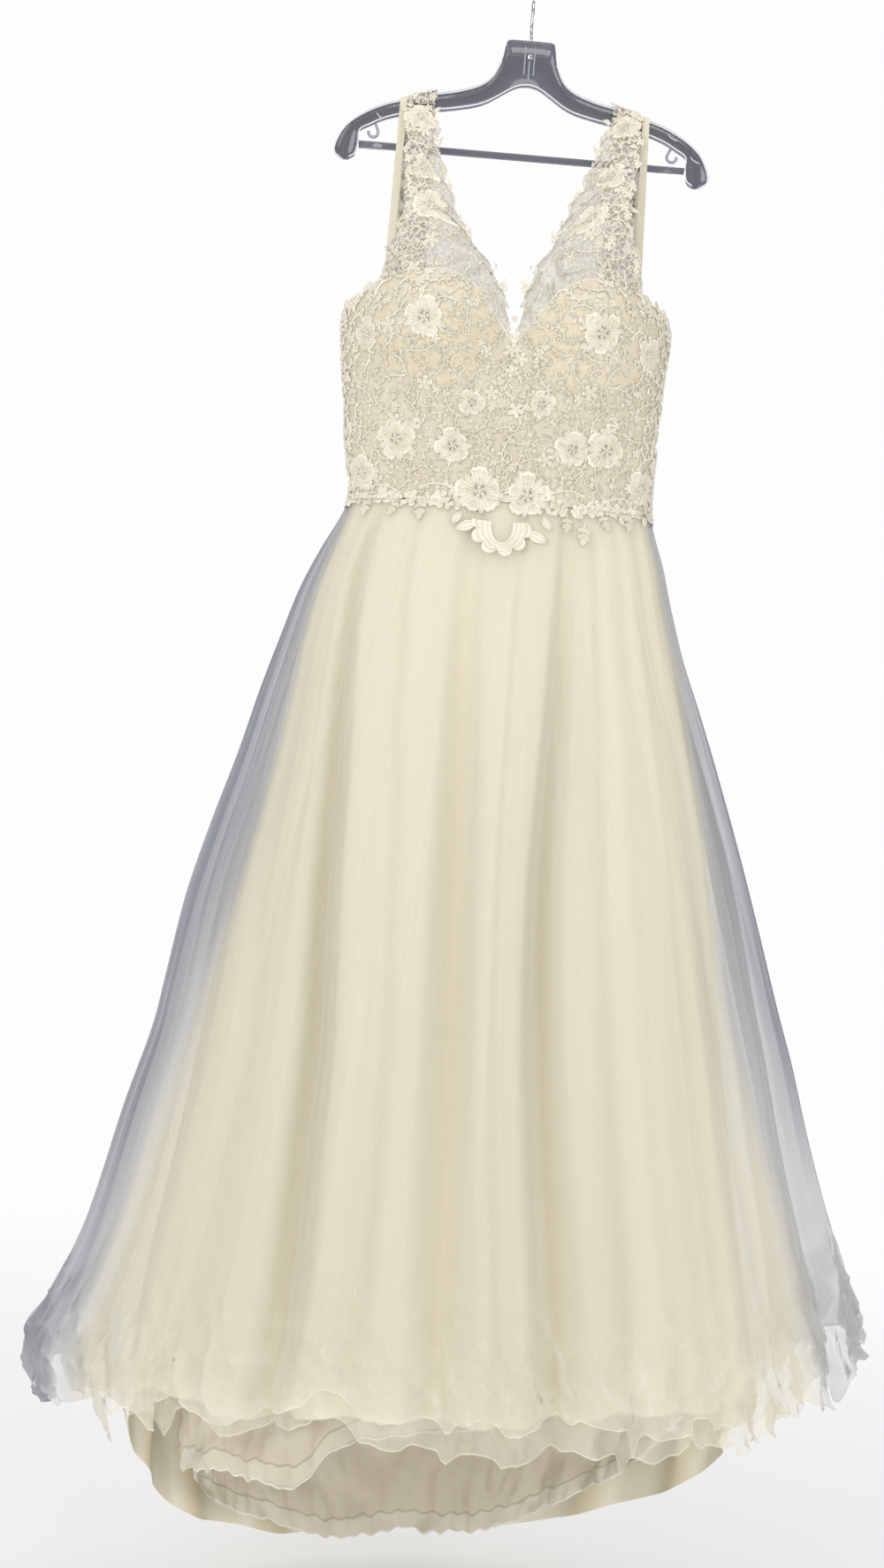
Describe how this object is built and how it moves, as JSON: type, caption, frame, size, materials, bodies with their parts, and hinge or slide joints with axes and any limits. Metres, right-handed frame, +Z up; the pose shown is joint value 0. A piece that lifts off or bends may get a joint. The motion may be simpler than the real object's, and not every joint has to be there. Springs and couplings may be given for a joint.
{
  "type": "wedding dress on a hanger",
  "caption": "Floor-length sleeveless A-line wedding dress with a lace bodice, sheer straps, tulle skirt and short train, hung on a clear hanger.",
  "frame": {"origin": "the point inside the top of the hook's bow that rests on a rail", "axes": "+Z up, -Y out of the dress's front, +X to the wearer's left"},
  "size_m": [0.955, 0.5792, 1.8684],
  "materials": {
    "lace": "matte corded ivory lace",
    "bodice_cloth": "matte ivory",
    "sheer_strap": "sheer ivory tulle",
    "sheer_tulle": "sheer soft white tulle",
    "satin": "soft ivory satin",
    "lining": "ivory lining",
    "clear_plastic": "clear, smoky, glossy",
    "hook_metal": "bright wire"
  },
  "bodies": {
    "root": {"lace_arch": "lace", "lace_flower_waist_left": "lace", "lace_flower_waist_right": "lace", "lace_spray_waist_left": "lace", "lace_spray_waist_right": "lace", "lace_flower_side_left": "lace", "lace_flower_side_right": "lace", "lace_flower_body_left": "lace", "lace_flower_body_right": "lace", "lace_leaves_body_left": "lace", "lace_leaves_body_right": "lace", "lace_leaves_cup_left": "lace", "lace_leaves_cup_right": "lace", "lace_flower_back_left": "lace", "lace_flower_back_right": "lace", "lace_flower_strap_left": "lace", "lace_flower_strap_right": "lace", "bodice_front": "bodice_cloth", "cup_panel_left": "bodice_cloth", "cup_panel_right": "bodice_cloth", "side_left": "bodice_cloth", "side_right": "bodice_cloth", "bodice_back_left": "bodice_cloth", "bodice_back_right": "bodice_cloth", "front_strap_left": "sheer_strap", "front_strap_right": "sheer_strap", "back_strap_left": "sheer_strap", "back_strap_right": "sheer_strap", "tulle_front": "sheer_tulle", "tulle_back": "sheer_tulle", "under_tulle_front": "sheer_tulle", "under_tulle_back": "sheer_tulle", "satin_front": "satin", "satin_back": "satin", "back_placket": "satin", "hanging_ribbon_left": "satin", "hanging_ribbon_right": "satin", "button_01": "satin", "button_02": "satin", "button_03": "satin", "button_04": "satin", "button_05": "satin", "button_06": "satin", "button_07": "satin", "button_08": "satin", "button_09": "satin", "lining_front": "lining", "lining_back": "lining", "hanger_arms": "clear_plastic", "hanger_bar": "clear_plastic", "strap_hook_left": "clear_plastic", "strap_hook_right": "clear_plastic", "wire_hook": "hook_metal"}
  },
  "joints": []
}
